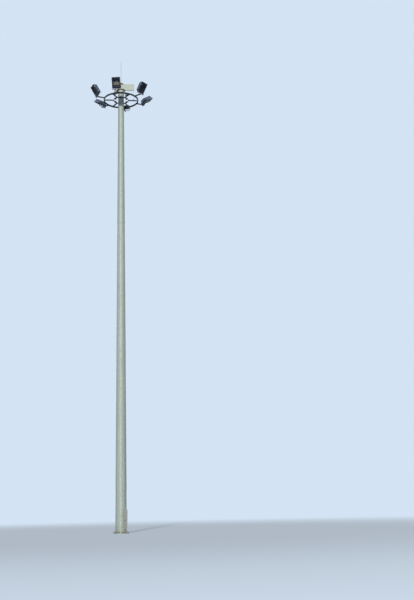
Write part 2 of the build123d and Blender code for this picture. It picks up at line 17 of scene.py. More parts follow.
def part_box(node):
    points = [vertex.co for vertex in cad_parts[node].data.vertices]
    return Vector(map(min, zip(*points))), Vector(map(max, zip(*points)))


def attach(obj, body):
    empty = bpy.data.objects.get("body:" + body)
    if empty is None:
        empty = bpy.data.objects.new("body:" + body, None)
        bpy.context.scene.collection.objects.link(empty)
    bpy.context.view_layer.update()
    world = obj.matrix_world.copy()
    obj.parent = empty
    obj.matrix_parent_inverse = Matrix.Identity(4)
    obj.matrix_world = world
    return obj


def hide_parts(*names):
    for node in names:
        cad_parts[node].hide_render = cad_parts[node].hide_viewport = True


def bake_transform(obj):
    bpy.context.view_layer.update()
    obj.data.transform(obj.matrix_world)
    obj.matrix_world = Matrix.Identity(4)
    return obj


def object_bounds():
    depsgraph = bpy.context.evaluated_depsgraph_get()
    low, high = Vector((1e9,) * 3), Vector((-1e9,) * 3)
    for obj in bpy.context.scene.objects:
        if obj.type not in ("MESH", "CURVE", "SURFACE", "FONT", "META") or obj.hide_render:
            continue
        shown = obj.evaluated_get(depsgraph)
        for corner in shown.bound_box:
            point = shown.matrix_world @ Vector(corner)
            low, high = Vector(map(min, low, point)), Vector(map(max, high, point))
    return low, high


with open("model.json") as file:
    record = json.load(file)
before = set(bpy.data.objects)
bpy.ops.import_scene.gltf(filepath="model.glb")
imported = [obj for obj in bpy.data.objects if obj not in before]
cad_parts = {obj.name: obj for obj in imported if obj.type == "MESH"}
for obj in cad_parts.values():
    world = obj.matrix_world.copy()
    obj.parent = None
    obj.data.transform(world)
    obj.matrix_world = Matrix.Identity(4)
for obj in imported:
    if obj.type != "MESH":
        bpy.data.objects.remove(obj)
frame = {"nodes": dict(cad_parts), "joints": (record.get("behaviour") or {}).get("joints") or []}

cad_low, cad_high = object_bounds()
nodes = frame["nodes"]
print("mast height", round(cad_high.z, 3), "m, nodes", len(nodes))

# %% [markdown]
# ## The camera
#
# The photograph was taken from head height, about 57 m away, with the camera tipped up until the mast's
# head and its foot both fitted. The mast stands left of the middle because the camera also points a little
# to its right. Such a camera can be made with an empty to look at, or with the lens shift. Turning the
# camera itself is the honest way here, because the convergence of upright lines then comes out as in the
# photograph.

# %% Camera
scene = bpy.context.scene
focal_pixels = 900.0
long_side_pixels = 600.0
sensor_width = 36.0
view_bearing = -40.0
camera_distance = 57.49
camera_height = 1.549
yaw = radians(5.597)
pitch = radians(12.891)
roll = radians(-1.252)
farthest_view = 4000.0

camera_data = bpy.data.cameras.new("photo_camera")
camera = bpy.data.objects.new("photo_camera", camera_data)
scene.collection.objects.link(camera)
camera_data.sensor_width = sensor_width
camera_data.lens = focal_pixels / long_side_pixels * sensor_width
camera_data.clip_end = farthest_view
upright = Matrix.Rotation(pi / 2, 4, "X")
aimed = (
    Matrix.Rotation(radians(view_bearing), 4, "Z")
    @ Matrix.Translation((0, -camera_distance, camera_height))
    @ Matrix.Rotation(-yaw, 4, "Z")
    @ upright
    @ Matrix.Rotation(pitch, 4, "X")
    @ Matrix.Rotation(roll, 4, "Z")
)
camera.matrix_world = aimed
scene.camera = camera
print("lens", round(camera_data.lens, 1), "mm")

# %% [markdown]
# ## Shader maths written as Python
#
# A material is a graph of nodes. Each could be drawn by hand in the shader editor, but thirty finishes that
# share their parts would be thirty drawings. Here a small class wraps a socket and takes part in sums and
# products, so that an expression such as grain * 0.5 + 0.2 adds its own Math nodes.

# %% A socket that can be added and multiplied


class Wire:
    """A shader socket that takes part in Python expressions, one Math node for each operation."""

    def __init__(self, finish, socket):
        self.finish = finish
        self.socket = socket

    def _combine(self, operation, first, second):
        return self.finish.node("ShaderNodeMath", {"operation": operation}, [first, second])

    def __add__(self, other):
        return self._combine("ADD", self, other)

    __radd__ = __add__

    def __mul__(self, other):
        return self._combine("MULTIPLY", self, other)

    __rmul__ = __mul__

    def __sub__(self, other):
        return self._combine("SUBTRACT", self, other)

    def __rsub__(self, other):
        return self._combine("SUBTRACT", other, self)

    def clamped(self):
        return self.finish.node("ShaderNodeClamp", {}, {"Value": self})

    def between(self, low, high):
        """0 below low, 1 above high, and a smooth rise between them."""
        ports = {"Value": self, "From Min": low, "From Max": high, "To Min": 0.0, "To Max": 1.0}
        return self.finish.node("ShaderNodeMapRange", {"interpolation_type": "SMOOTHSTEP"}, ports)


# %% A node tree under construction


class Finish:
    """A node tree, to which node() adds any kind of node."""

    def __init__(self, tree):
        self.tree = tree
        self.tree.nodes.clear()

    def node(self, kind, settings, ports, output=0):
        made = self.tree.nodes.new(kind)
        for name, value in settings.items():
            setattr(made, name, value)
        pairs = ports.items() if isinstance(ports, dict) else enumerate(ports)
        for key, value in pairs:
            socket = made.inputs[key]
            if isinstance(value, Wire):
                self.tree.links.new(value.socket, socket)
            else:
                socket.default_value = value
        return Wire(self, made.outputs[output])

    def close(self, kind, shader):
        """Joins the last shader to the tree's output."""
        self.tree.links.new(shader.socket, self.tree.nodes.new(kind).inputs["Surface"])

    def mix(self, factor, first, second):
        """Colour first where factor is 0 and second where it is 1."""
        # The colours of this node are its sockets 6, 7 and 2, as numbers and vectors come before them.
        ports = {0: factor, 6: solid(first), 7: solid(second)}
        return self.node("ShaderNodeMix", {"data_type": "RGBA"}, ports, output=2)

    def place(self):
        return self.node("ShaderNodeTexCoord", {}, {}, output="Object")

    def dot(self, first, second):
        """The dot product of two vectors."""
        kind = {"operation": "DOT_PRODUCT"}
        return self.node("ShaderNodeVectorMath", kind, [first, second], output="Value")

    def along(self, direction, point=(0, 0, 0)):
        """Distance of a place from a point, measured along a direction."""
        ends = [self.place(), tuple(point)]
        offset = self.node("ShaderNodeVectorMath", {"operation": "SUBTRACT"}, ends)
        return self.dot(offset, tuple(direction))

    def within(self, place, axis):
        """Distance along an axis of a placement, from its middle."""
        return self.along(place.to_3x3() @ Vector(axis), place.translation)

    def facing_way(self):
        """The surface's own normal, without any bump."""
        return self.node("ShaderNodeNewGeometry", {}, {}, output="Normal")

    def noise(self, scale, detail, roughness=0.55, vector=None):
        ports = {"Vector": vector or self.place(), "Scale": scale, "Detail": detail, "Roughness": roughness}
        return self.node("ShaderNodeTexNoise", {}, ports)

    def streaks(self, stretch, detail, roughness=0.55):
        """Noise that is drawn out along the axis with the smallest number."""
        vector = self.node("ShaderNodeMapping", {}, {"Vector": self.place(), "Scale": stretch})
        return self.noise(1.0, detail, roughness, vector)

    def bump(self, height, distance, strength):
        ports = {"Height": height, "Distance": distance, "Strength": strength}
        return self.node("ShaderNodeBump", {}, ports)


def solid(tone):
    """A colour with full opacity, or a wire as it is."""
    return tone if isinstance(tone, Wire) else (*tone, 1.0)


def sockets(colour, roughness, normal, metallic=0.0):
    """What nearly every finish sets on its shader."""
    return {"Base Color": colour, "Metallic": metallic, "Roughness": roughness, "Normal": normal}


def surface(name, recipe, *values, **named_values):
    """A material whose recipe gives the shader's sockets, from the values that follow its name."""
    material = bpy.data.materials.new(name)
    material.use_nodes = True
    finish = Finish(material.node_tree)
    ports = recipe(finish, *values, **named_values)
    shader = finish.node("ShaderNodeBsdfPrincipled", {}, ports)
    finish.close("ShaderNodeOutputMaterial", shader)
    print(name, len(material.node_tree.nodes), "nodes")
    return material


# %% [markdown]
# ## Light, floor and backdrop
#
# Outdoors this mast is lit by a low sun from the left, behind the camera, and by the whole sky. One soft
# sun lamp and an even world do the same in a studio. The sun is a little warm and the world a little blue,
# and together they are white, so a colour on the lit side comes out as it was written. The world shows a
# pale sky to the camera and to glossy rays, which a large white card behind the mast would do less evenly.
# The floor fades into that backdrop, so no hard horizon crosses the mast.

# %% World
scene.view_settings.view_transform = "Standard"
sky_tone = (0.66, 0.77, 0.90)
fill_tone = (0.62, 0.78, 1.0)
fill_strength = 0.22

world = bpy.data.worlds.new("studio")
scene.world = world
world.use_nodes = True
sky = Finish(world.node_tree)
seen = sky.node("ShaderNodeLightPath", {}, {})
glossy = Wire(sky, seen.socket.node.outputs["Is Glossy Ray"])
through = Wire(sky, seen.socket.node.outputs["Is Transmission Ray"])
shown = (seen + glossy + through).clamped()
plain = sky.node("ShaderNodeBackground", {}, {"Color": solid(fill_tone), "Strength": fill_strength})
backdrop = sky.node("ShaderNodeBackground", {}, {"Color": solid(sky_tone), "Strength": 1.0})
both = sky.node("ShaderNodeMixShader", {}, [shown, plain, backdrop])
sky.close("ShaderNodeOutputWorld", both)
print("fill light", fill_strength)

# %% Sun
sun_tone = (1.0, 0.98, 0.91)
sun_strength = 2.50
sun_bearing = view_bearing - 10.0
sun_height = 17.0
sun_width = 4.0

sun_data = bpy.data.lights.new("sun", "SUN")
sun_data.energy = sun_strength
sun_data.color = sun_tone
sun_data.angle = radians(sun_width)
sun = bpy.data.objects.new("sun", sun_data)
scene.collection.objects.link(sun)
sun.matrix_world = (
    Matrix.Rotation(radians(sun_bearing), 4, "Z") @ Matrix.Rotation(radians(90.0 - sun_height), 4, "X")
)
print("sun", sun_strength, "at", sun_height, "degrees")

# %% Floor
floor_tone = (0.74, 0.76, 0.78)
floor_size = 900.0
fade_start = 14.0
fade_end = 60.0
floor_glow = 0.40

floor_mesh = bpy.data.meshes.new("floor")
bm = bmesh.new()
bmesh.ops.create_grid(bm, x_segments=1, y_segments=1, size=floor_size)
bm.to_mesh(floor_mesh)
bm.free()
floor = bpy.data.objects.new("floor", floor_mesh)
scene.collection.objects.link(floor)
floor_material = bpy.data.materials.new("pale_floor")
floor_material.use_nodes = True
ground = Finish(floor_material.node_tree)
spread = ground.node("ShaderNodeVectorMath", {"operation": "LENGTH"}, [ground.place()], output="Value")
matt = ground.node("ShaderNodeBsdfDiffuse", {}, {"Color": solid(floor_tone)})
glow = ground.node("ShaderNodeEmission", {}, {"Color": solid(sky_tone), "Strength": 1.0})
lens_ray = ground.node("ShaderNodeLightPath", {}, {})
fade = (spread.between(fade_start, fade_end) * (1.0 - floor_glow) + floor_glow) * lens_ray
faded = ground.node("ShaderNodeMixShader", {}, [fade, matt, glow])
ground.close("ShaderNodeOutputMaterial", faded)
floor_mesh.materials.append(floor_material)
print("floor fades from", fade_start, "to", fade_end, "m")

# %% [markdown]
# ## Finishes
#
# A finish is a small recipe: it takes object coordinates, which are metres in the frame, and returns the
# sockets of one Principled shader. A picture could be wrapped on instead, but the mast is thirty metres
# long and would need a huge one. Noise and cell textures keep their true scale everywhere, from the foot
# bolts to the rod.

# %% Colour and wear helpers


def screen(red, green, blue):
    """A linear colour from the values that a screen shows."""
    return tuple(((value / 255 + 0.055) / 1.055) ** 2.4 for value in (red, green, blue))


def cells(finish, scale, output="Color"):
    ports = {"Vector": finish.place(), "Scale": scale}
    return finish.node("ShaderNodeTexVoronoi", {}, ports, output=output)


def worn_edges(finish, reach):
    """1 on sharp edges of a solid and 0 on its faces."""
    rounded = finish.node("ShaderNodeBevel", {"samples": 4}, {"Radius": reach})
    return (1 - finish.dot(rounded, finish.facing_way())).between(0.01, 0.16)


def upward(finish):
    """1 on faces that look up, where dust settles, and 0 on the others."""
    return finish.dot(finish.facing_way(), (0, 0, 1)).between(0.15, 0.95)


print("a screen's mid grey is", round(screen(128, 128, 128)[0], 3), "in a shader")

# %% [markdown]
# ## Galvanised steel
#
# The mast was dipped in molten zinc, which freezes into flat crystals of slightly different greys. As it
# ages, the grey breaks up into pale and dark clouds, rain draws runs down the sides, and the lowest metre
# takes thrown dust. The crystals come from a cell texture, the runs from noise that is stretched along Z,
# and the dust from the height above the ground. One noise could colour it all, but layers that are mixed
# one over the other can be changed singly.

# %% Zinc
crystal_scale = 42.0
cloud_scale = 1.3
mottle_scale = 11.0
patch_scale = 7.0
run_stretch = (26.0, 26.0, 0.35)
drip_stretch = (95.0, 95.0, 1.1)
dust_stretch = (9.0, 9.0, 3.0)
splash_height = 0.95
run_tone = screen(116, 120, 116)
dust_tone = screen(148, 138, 120)


def zinc(finish, pale, dark, roughness=0.60, metallic=0.15, grime=0.5, crystal=0.5):
    grain = cells(finish, crystal_scale)
    cloud = finish.noise(cloud_scale, 4.0)
    mottle = finish.noise(mottle_scale, 5.0, 0.62).between(0.38, 0.64)
    runs = finish.streaks(run_stretch, 4.0, 0.6).between(0.36, 0.72)
    drips = finish.streaks(drip_stretch, 3.0, 0.6).between(0.56, 0.74)
    patches = finish.noise(patch_scale, 5.0, 0.65).between(0.45, 0.75)
    thrown = finish.streaks(dust_stretch, 5.0, 0.7).between(0.36, 0.66)
    low = 1 - finish.along((0, 0, 1)).between(0.0, splash_height)
    shade = (grain * crystal * 0.5 + mottle * 0.3 + cloud * 0.25 + runs * 0.35).clamped()
    colour = finish.mix(shade, dark, pale)
    colour = finish.mix(runs * patches * grime * 0.45, colour, run_tone)
    colour = finish.mix(drips * grime * 0.55, colour, run_tone)
    colour = finish.mix(low * low * thrown * 0.8, colour, dust_tone)
    rough = (grain * 0.16 + patches * 0.1 + (roughness - 0.12)).clamped()
    skin = finish.bump(grain * 0.35 + mottle * 0.65, 0.0016, 0.5)
    return sockets(colour, rough, skin, metallic) | {"Specular IOR Level": 0.2}


mast_zinc = surface("mast_zinc", zinc, screen(190, 200, 190), screen(152, 163, 157))
frame_zinc = surface("frame_zinc", zinc, screen(204, 208, 202), screen(174, 179, 174), grime=0.4)
door_zinc = surface("door_zinc", zinc, screen(196, 199, 194), screen(162, 166, 162), grime=0.7)
head_zinc = surface("head_zinc", zinc, screen(192, 198, 186), screen(164, 172, 160), grime=0.35)
# Painted shade: the carriage's zinc gets the dark blue grey that its underside shows in shade, far darker
# than the mast's zinc.
shaded_carriage_zinc = surface("shaded_carriage_zinc", zinc, screen(54, 64, 84), screen(28, 36, 56), grime=0.12)
bolt_zinc = surface(
    "bolt_zinc", zinc, screen(178, 180, 178), screen(120, 122, 122), roughness=0.42, metallic=0.6, grime=0.9
)
weld_look = {"roughness": 0.5, "metallic": 0.4, "grime": 0.3, "crystal": 0.2}
weld_zinc = surface("weld_zinc", zinc, screen(190, 196, 196), screen(146, 152, 152), **weld_look)

# %% [markdown]
# ## Dark baked paint
#
# The yokes and the floodlights' frames are painted a blue that is nearly black. Ten years of sun chalk it,
# dust lies on what faces up, and it is rubbed to grey where metal was handled, along the edges. Wear could
# be painted on the vertices, but the solids have few of them. The edge mask compares the surface's own
# normal with that of the Bevel node, so it needs no extra geometry.

# %% Paint
peel_scale = 360.0
speck_scale = 90.0
bare_metal_tone = screen(165, 168, 172)


def weathered(finish, cloud, colour, roughness, dust, edge, reach, settled_tone):
    """Dust on what faces up, bare metal along the edges, and a skin like orange peel."""
    fine = finish.noise(speck_scale, 3.0, 0.7).between(0.4, 0.7)
    settled = upward(finish) * cloud.between(0.3, 0.65)
    colour = finish.mix(settled * dust, colour, settled_tone)
    colour = finish.mix(worn_edges(finish, reach) * fine * edge, colour, bare_metal_tone)
    rough = (cloud * 0.2 + settled * 0.3 + (roughness - 0.1)).clamped()
    orange_peel = finish.noise(peel_scale, 2.0)
    return sockets(colour, rough, finish.bump(orange_peel * 0.2 + cloud * 0.8, 0.0012, 0.35))


def paint(finish, main, chalk, roughness=0.42, dust=0.55, edge=0.35, reach=0.006):
    cloud = finish.noise(5.0, 5.0, 0.6)
    colour = finish.mix(cloud.between(0.35, 0.75) * 0.6, main, chalk)
    return weathered(finish, cloud, colour, roughness, dust, edge, reach, screen(138, 134, 124))


yoke_paint = surface("yoke_paint", paint, screen(28, 36, 54), screen(50, 59, 78), reach=0.004)
winch_paint = surface("winch_paint", paint, screen(64, 92, 104), screen(92, 116, 122), dust=0.3, edge=0.8)
box_plastic = surface(
    "box_plastic", paint, screen(176, 180, 178), screen(196, 198, 192), roughness=0.5, edge=0.1
)
frame_look = {"roughness": 0.38, "dust": 0.35, "edge": 0.5, "reach": 0.003}
frame_paint = surface("frame_paint", paint, screen(20, 28, 48), screen(40, 49, 72), **frame_look)

# %% [markdown]
# ## Rubber, plastic and small metals
#
# These are the quieter finishes: rubber rollers with scuffed treads, cast nylon pulleys, dull bronze in the
# lock, and the stainless steel of latches and screws. Plain colours would be quicker, but a flat colour
# looks like a toy as soon as light grazes it. So each has a grain, and scratches and brushing are noise
# that is stretched along one axis.

# %% Small finishes


def rubber(finish):
    grit = finish.noise(260.0, 4.0, 0.7)
    scuff = finish.streaks((14, 14, 60), 4.0).between(0.45, 0.7)
    colour = finish.mix(scuff, screen(38, 38, 40), screen(86, 84, 80))
    return sockets(colour, grit * 0.2 + 0.66, finish.bump(grit, 0.0008, 0.5))


def nylon(finish):
    mottle = finish.noise(22.0, 4.0)
    scratch = finish.streaks((240, 240, 12), 3.0).between(0.5, 0.66)
    colour = finish.mix(mottle, screen(196, 186, 158), screen(160, 148, 120))
    colour = finish.mix(scratch * 0.4, colour, screen(96, 90, 80))
    return sockets(colour, mottle * 0.2 + 0.34, finish.bump(scratch, 0.0005, 0.4))


def metal(finish, pale, dark, roughness=0.3, stain=0.3):
    brushed = finish.streaks((320, 320, 24), 3.0)
    tarnish = finish.noise(34.0, 5.0, 0.65).between(0.42, 0.78)
    colour = finish.mix(tarnish * stain, pale, dark)
    rough = (brushed * 0.14 + tarnish * 0.2 + (roughness - 0.1)).clamped()
    return sockets(colour, rough, finish.bump(brushed, 0.0003, 0.35), metallic=0.9)


def ceramic(finish):
    glaze = finish.noise(120.0, 3.0)
    colour = finish.mix(glaze, screen(226, 220, 206), screen(200, 192, 176))
    return sockets(colour, glaze * 0.15 + 0.3, finish.bump(glaze, 0.0003, 0.3))


roller_rubber = surface("roller_rubber", rubber)
gasket_rubber = surface("gasket_rubber", rubber)
pulley_nylon = surface("pulley_nylon", nylon)
stainless = surface("stainless", metal, screen(200, 202, 204), screen(120, 116, 108))
aged = {"roughness": 0.40, "stain": 0.8}
lock_bronze = surface("lock_bronze", metal, screen(112, 102, 84), screen(58, 52, 44), **aged)
rod_metal = surface("rod_metal", metal, screen(146, 144, 142), screen(84, 78, 70), **aged)
lamp_ceramic = surface("lamp_ceramic", ceramic)

# %% [markdown]
# ## Wire rope
#
# A wire rope is six strands laid round a core. The short ropes that hang in the open are modelled strand by
# strand, further down. Inside the mast, the grooves between strands are only a slanting wave in the bump,
# since nobody gets closer to them than the door.

# %% Rope finish
strand_scale = 46.0


def rope_lay(finish):
    lay = {"wave_type": "BANDS", "bands_direction": "DIAGONAL"}
    ports = {"Vector": finish.place(), "Scale": strand_scale}
    strand = finish.node("ShaderNodeTexWave", lay, ports, output="Fac")
    grease = finish.noise(30.0, 4.0).between(0.4, 0.7)
    colour = finish.mix(strand, screen(82, 82, 84), screen(158, 160, 162))
    colour = finish.mix(grease * 0.5, colour, screen(60, 54, 46))
    return sockets(colour, grease * 0.25 + 0.34, finish.bump(strand, 0.0012, 0.6), metallic=0.7)


rope_wire = surface("rope_wire", rope_lay)

# %% [markdown]
# ## Where the floodlights are
#
# A floodlight's finish changes from its front frame to its fins, and from the top of its reflector to the
# bottom, so these materials have to know where each floodlight is and which way it faces. The frame gives
# the point of each pivot. The aim is the angle by which a floodlight looks down, and it differs: three of
# them look far out, and the other three look steeply down at the ground below. One list of aims and one
# formula keep finish and shape together.

# %% Places and directions
flood_aims = (26.0, 32.0, 60.0, 66.0, 60.0, 32.0)
first_flood_bearing = -50.0
first_arm_bearing = 50.0
pivot_drop = 0.180
flood_bearings = [first_flood_bearing + 60.0 * k for k in range(len(flood_aims))]
spoke_bearings = [first_arm_bearing + 60.0 * k for k in range(6)]
arm_bearings = [first_arm_bearing + 120.0 * k for k in range(3)]
up = Vector((0, 0, 1))


def radial(bearing):
    return Vector((sin(radians(bearing)), -cos(radians(bearing)), 0))


def tangent(bearing):
    return Vector((cos(radians(bearing)), sin(radians(bearing)), 0))


def around(bearings):
    """The way out from the mast and the way sideways, at each bearing."""
    return [(radial(bearing), tangent(bearing)) for bearing in bearings]


def facing(point, direction, side=None):
    """A placement whose Z runs along direction and whose X leans towards side."""
    z = direction.normalized()
    side = side or (Vector((1, 0, 0)) if abs(z.x) < 0.9 else Vector((0, 1, 0)))
    x = (side - z * side.dot(z)).normalized()
    turned = Matrix((x, z.cross(x), z)).transposed().to_4x4()
    return Matrix.Translation(point) @ turned


flood_places = {}
for joint in frame["joints"]:
    if joint["name"].startswith("flood_tilt_"):
        number = int(joint["name"].split("_")[-1])
        bearing = flood_bearings[number - 1]
        aim = radians(flood_aims[number - 1])
        outward = radial(bearing) * cos(aim) - up * sin(aim)
        upright_face = radial(bearing) * sin(aim) + up * cos(aim)
        middle = Vector(joint["pos_m"]) + upright_face * pivot_drop
        flood_places[number] = facing(middle, outward, tangent(bearing))
for number, place in flood_places.items():
    print("floodlight", number, "at", tuple(round(c, 3) for c in place.translation))

# %% [markdown]
# ## Floodlight casting
#
# The housing is cast aluminium under grey paint. Its front frame and gear cover are a darker blue, nearly
# black. Both tones are on one casting, so the change is a narrow step measured along the way the floodlight
# faces. Towards the back, among the fins, the shell is darker.

# %% Casting finish
rim_start = 0.088
rim_end = 0.091
back_dark_end = -0.105
back_dark_start = -0.025
foot_start = 0.20
foot_end = 0.38


def casting(finish, place):
    depth = finish.within(place, (0, 0, 1))
    cloud = finish.noise(4.0, 5.0, 0.62)
    streak = finish.streaks((40, 40, 3), 4.0).between(0.42, 0.72)
    shell = finish.mix(cloud.between(0.3, 0.75), screen(76, 88, 112), screen(102, 112, 134))
    shell = finish.mix(streak * 0.35, shell, screen(58, 67, 86))
    darker_back = 1 - depth.between(back_dark_end, back_dark_start)
    shell = finish.mix(darker_back * 0.7, shell, screen(42, 50, 66))
    front = finish.mix(cloud.between(0.35, 0.75) * 0.6, screen(16, 23, 42), screen(36, 45, 68))
    colour = finish.mix(depth.between(rim_start, rim_end), shell, front)
    foot = finish.within(place, (0, -1, 0)).between(foot_start, foot_end)
    colour = finish.mix(foot * 0.6, colour, screen(18, 24, 40))
    look = {"roughness": 0.44, "dust": 0.5, "edge": 0.4, "reach": 0.005}
    return weathered(finish, cloud, colour, settled_tone=screen(140, 137, 128), **look)


casting_paints = {number: surface(f"casting_{number}", casting, at) for number, at in flood_places.items()}

# %% [markdown]
# ## Reflector and glass
#
# The reflector is hammered aluminium: shallow dents that scatter the arc so that it throws no hard rings. A
# cell texture in the bump gives the dents. Its colour holds painted light: painted shade turns the metal
# above the arc a dark blue grey, a pale band below it is a painted sunlit strip, and painted shade darkens
# it again under that band. The front glass is toughened and a little dusty. A refracting shader would keep
# the sun out of the lamp, so the glass is a dark glossy surface with little opacity, which rises where one
# looks along it and where dirt lies.

# %% Reflector and glass finishes
dent_scale = 62.0
# Heights on the reflector's face where the painted shade above the pale band, and below it, fades in.
shade_above_start = 0.02
shade_above_end = 0.10
shade_below_start = -0.115
shade_below_end = -0.150


def hammered(finish, place):
    rise = finish.within(place, (0, 1, 0))
    dents = cells(finish, dent_scale, "Distance")
    haze = finish.noise(9.0, 4.0)
    band_height = (haze - 0.5) * 0.06 + rise
    # Painted shade above the arc and under the pale band, which is a painted sunlit strip.
    painted_shade_above = band_height.between(shade_above_start, shade_above_end)
    painted_shade_below = 1 - band_height.between(shade_below_end, shade_below_start)
    colour = finish.mix(haze, screen(246, 236, 206), screen(226, 216, 188))
    colour = finish.mix(painted_shade_above * 0.94, colour, screen(54, 66, 86))
    colour = finish.mix(painted_shade_below * 0.9, colour, screen(48, 52, 62))
    return sockets(colour, haze * 0.12 + 0.36, finish.bump(dents, 0.003, 0.35), metallic=0.3)


def dusty_glass(finish, tint, body, veil):
    spots = finish.noise(60.0, 6.0, 0.75).between(0.42, 0.8)
    cloud = finish.noise(6.0, 4.0).between(0.3, 0.8)
    dirt = (spots * 0.5 + cloud * 0.5) * veil
    glance = finish.node("ShaderNodeFresnel", {}, {"IOR": 1.46})
    return {
        "Base Color": finish.mix(dirt.between(0.0, 2.0 * veil), tint, screen(150, 147, 136)),
        "Roughness": spots * 0.3 + 0.04,
        "Alpha": (glance * 0.8 + dirt + body).clamped(),
    }


reflector_metals = {
    number: surface(f"reflector_{number}", hammered, at) for number, at in flood_places.items()
}
flood_glass = surface("flood_glass", dusty_glass, screen(44, 58, 78), body=0.10, veil=0.08)
lamp_glass = surface("lamp_glass", dusty_glass, screen(206, 204, 196), body=0.30, veil=0.06)

# %% [markdown]
# ## Dressing the carried-over nodes
#
# Every node of the frame keeps its shape and only changes its finish. The table below says who wears what,
# and the loop stops at once if a node is missing from it.

# %% Finishes for the frame's nodes
groups = (
    (mast_zinc, "base_flange door_section lower_shaft middle_shaft upper_shaft"),
    (frame_zinc, "door_frame"),
    (door_zinc, "base_door"),
    (lock_bronze, "door_lock"),
    (winch_paint, "winch_frame winch_drum compensator"),
    (rope_wire, "hoist_ropes suspension_ropes"),
    (head_zinc, "head_frame head_cap"),
    (pulley_nylon, "sheaves"),
    (rod_metal, "lightning_rod"),
    (shaded_carriage_zinc, "carriage_ring guide_ring carriage_spokes lamp_arms"),
    (roller_rubber, "guide_rollers"),
    (box_plastic, "junction_box"),
    (yoke_paint, "flood_yokes"),
)
wears = {name: finish for finish, names in groups for name in names.split()}
for number in flood_places:
    wears[f"flood_housing_{number}"] = casting_paints[number]
    wears[f"flood_reflector_{number}"] = reflector_metals[number]
    wears[f"flood_glass_{number}"] = flood_glass
for name, node in nodes.items():
    node.data.materials.clear()
    node.data.materials.append(wears[name])
print("dressed", len(nodes), "nodes")

# %% [markdown]
# ## Helpers for the small hardware
#
# Nearly everything that is added here is bars, plates, bolts and beads. A few functions make each of these
# once, with bmesh operators, at any place and in any direction. Modifiers on cubes would do as well, but a
# bmesh lets one piece hold hundreds of bolts without hundreds of objects.

# %% Bars and plates


def linked(made):
    """The edges between the vertices that an operator has made, each once and always in the same order."""
    edges = (edge for vertex in made["verts"] for edge in vertex.link_edges)
    return list(dict.fromkeys(edges))


def bar(bm, foot, tip, radius, sides, tip_radius=None):
    """A capped bar between two points, which may taper."""
    axis = tip - foot
    bmesh.ops.create_cone(
        bm,
        cap_ends=True,
        cap_tris=False,
        segments=sides,
        radius1=radius,
        radius2=radius if tip_radius is None else tip_radius,
        depth=axis.length,
        matrix=facing(foot + axis / 2, axis),
    )


def plate(bm, place, size, edge=0.001, segments=1):
    """A block with its edges bevelled, centred on a placement."""
    made = bmesh.ops.create_cube(bm, size=1.0, matrix=place @ Matrix.Diagonal((*size, 1.0)))
    bmesh.ops.bevel(
        bm,
        geom=linked(made),
        offset=edge,
        offset_type="OFFSET",
        segments=segments,
        profile=0.5,
        affect="EDGES",
        material=-1,
    )


# %% Turned parts and bolts


def lathe(bm, foot, way, rows, scale=1.0):
    """Parts along one line, as rows of from, to, radius, sides and end radius."""
    for low, high, radius, sides, end_radius in rows:
        near = foot + way * low * scale
        bar(bm, near, foot + way * high * scale, radius * scale, sides, end_radius * scale)


def bolt(bm, point, direction, size, proud):
    """A washer, a nut with a turned top and the end of a stud, as multiples of the stud's size."""
    rows = (
        (0.00, 0.17, 1.05, 20, 1.05),
        (0.17, 0.85, 0.90, 6, 0.90),
        (0.85, 0.97, 0.88, 6, 0.72),
        (0.97, 0.97 + proud, 0.50, 12, 0.42),
    )
    lathe(bm, point, direction.normalized(), rows, size)


# %% Rings and finished pieces


def section(bm, sides, radius, place):
    """A circle, as the geometry that a spin sweeps into a tube."""
    made = bmesh.ops.create_circle(bm, segments=sides, radius=radius, matrix=place)
    return made["verts"] + linked(made)


def hoop(bm, place, radius, thickness, steps, sides):
    """A closed ring of round section, lying in the placement's XY plane."""
    stood = place @ Matrix.Translation((radius, 0, 0)) @ Matrix.Rotation(pi / 2, 4, "X")
    bmesh.ops.spin(
        bm,
        geom=section(bm, sides, thickness, stood),
        cent=place.translation,
        axis=place.to_3x3() @ Vector((0, 0, 1)),
        angle=2 * pi,
        steps=steps,
        use_merge=True,
    )


def finished(name, bm, material, body, sharp=38.0):
    """Turns a bmesh into a named piece that rides on a body."""
    bmesh.ops.remove_doubles(bm, verts=bm.verts, dist=1e-6)
    bmesh.ops.recalc_face_normals(bm, faces=bm.faces)
    mesh = bpy.data.meshes.new(name)
    bm.to_mesh(mesh)
    bm.free()
    mesh.shade_smooth()
    mesh.set_sharp_from_angle(angle=radians(sharp))
    mesh.materials.append(material)
    piece = bpy.data.objects.new(name, mesh)
    scene.collection.objects.link(piece)
    if body:
        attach(piece, body)
    print(name, len(mesh.polygons), "faces")
    return piece


# %% [markdown]
# ## The foot
#
# The mast stands on sixteen anchor bolts that were cast into its foundation. Each passes through the base
# flange and carries a washer and two nuts, the upper one to lock the lower. One bolt could be copied
# sixteen times as an object, but a loop about the mast's axis keeps them in one piece, and they always meet
# the holes of the frame.

# %% Anchor bolts
flange_top = 0.040
bolt_circle = 0.430
anchor_size = 0.036
shaft_sides = 16
side_turn = 360.0 / shaft_sides
half_side = side_turn / 2
corner_bearings = [half_side + side_turn * k for k in range(shaft_sides)]
lock_nut_size = 0.96 * anchor_size
stud_end = 1.1

bm = bmesh.new()
for bearing in corner_bearings:
    foot = radial(bearing) * bolt_circle + up * flange_top
    bolt(bm, foot, up, anchor_size, proud=0.3)
    bolt(bm, foot + up * anchor_size, up, lock_nut_size, proud=stud_end)
finished("anchor_bolts", bm, bolt_zinc, "mast")

# %% [markdown]
# ## Welds and seams of the shaft
#
# Each section is bent from flat plate into sixteen sides and closed by two long welds, and the sections are
# pushed over one another. A bump in the paint could stand for a bead, but not in outline. Here it is a thin
# bar half sunk in the surface, which leans inwards at the shaft's own taper, because its ends use the same
# formula as the flats.

# %% The shaft's taper
foot_width = 0.690
taper = 0.0120
shaft_top = 29.570
sections = {
    "door": (0.040, 2.600, 0.0),
    "lower": (2.600, 10.700, 0.0084),
    "middle": (10.700, 20.000, 0.0148),
    "upper": (20.000, shaft_top, 0.0202),
}


def flat_reach(level, step=0.0):
    return (foot_width - taper * level) / 2 + step


def corner_reach(level, step=0.0):
    return flat_reach(level, step) / cos(radians(half_side))


